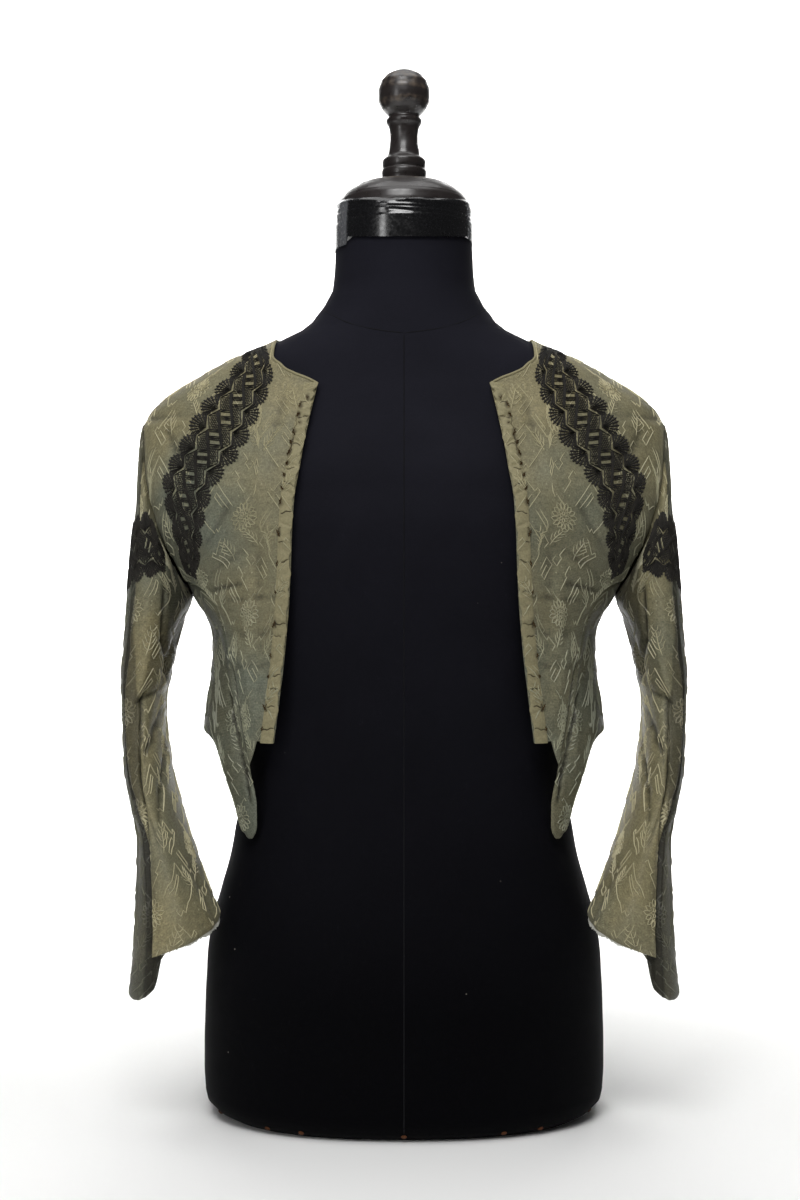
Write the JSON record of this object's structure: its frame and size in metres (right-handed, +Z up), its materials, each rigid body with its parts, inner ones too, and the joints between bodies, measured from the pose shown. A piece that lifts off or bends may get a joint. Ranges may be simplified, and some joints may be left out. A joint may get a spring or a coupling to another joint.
{
  "type": "open-front jacket on dress form",
  "caption": "Short fitted open-front jacket of figured silk with black lace at shoulders and sleeves, pointed tails and tongued cuffs, on a limbless black dress form with finial.",
  "frame": {"origin": "on the floor under the middle of the form, at the centre of the footprint", "axes": "+Z up through the form, -Y the way the open front faces, +X the wearer's left"},
  "size_m": [0.4756, 0.2395, 0.8803],
  "materials": {
    "silk": "figured silk, soft sheen",
    "silk_strip": "folded silk, rust stained",
    "lace": "matte cotton lace",
    "form_cloth": "matte stretched cotton",
    "tape": "glossy tape",
    "wood": "lacquered turned wood"
  },
  "bodies": {
    "root": {"front_left": "silk", "front_right": "silk", "side_left": "silk", "side_right": "silk", "back": "silk", "placket_left": "silk_strip", "placket_right": "silk_strip", "neck_binding": "silk_strip", "sleeve_front_left": "silk", "sleeve_front_right": "silk", "sleeve_back_left": "silk", "sleeve_back_right": "silk", "lace_shoulder_left": "lace", "lace_shoulder_right": "lace", "lace_sleeve_left": "lace", "lace_sleeve_right": "lace", "form_torso": "form_cloth", "form_neck_band": "tape", "form_neck_cap": "wood", "form_finial": "wood"}
  },
  "joints": []
}
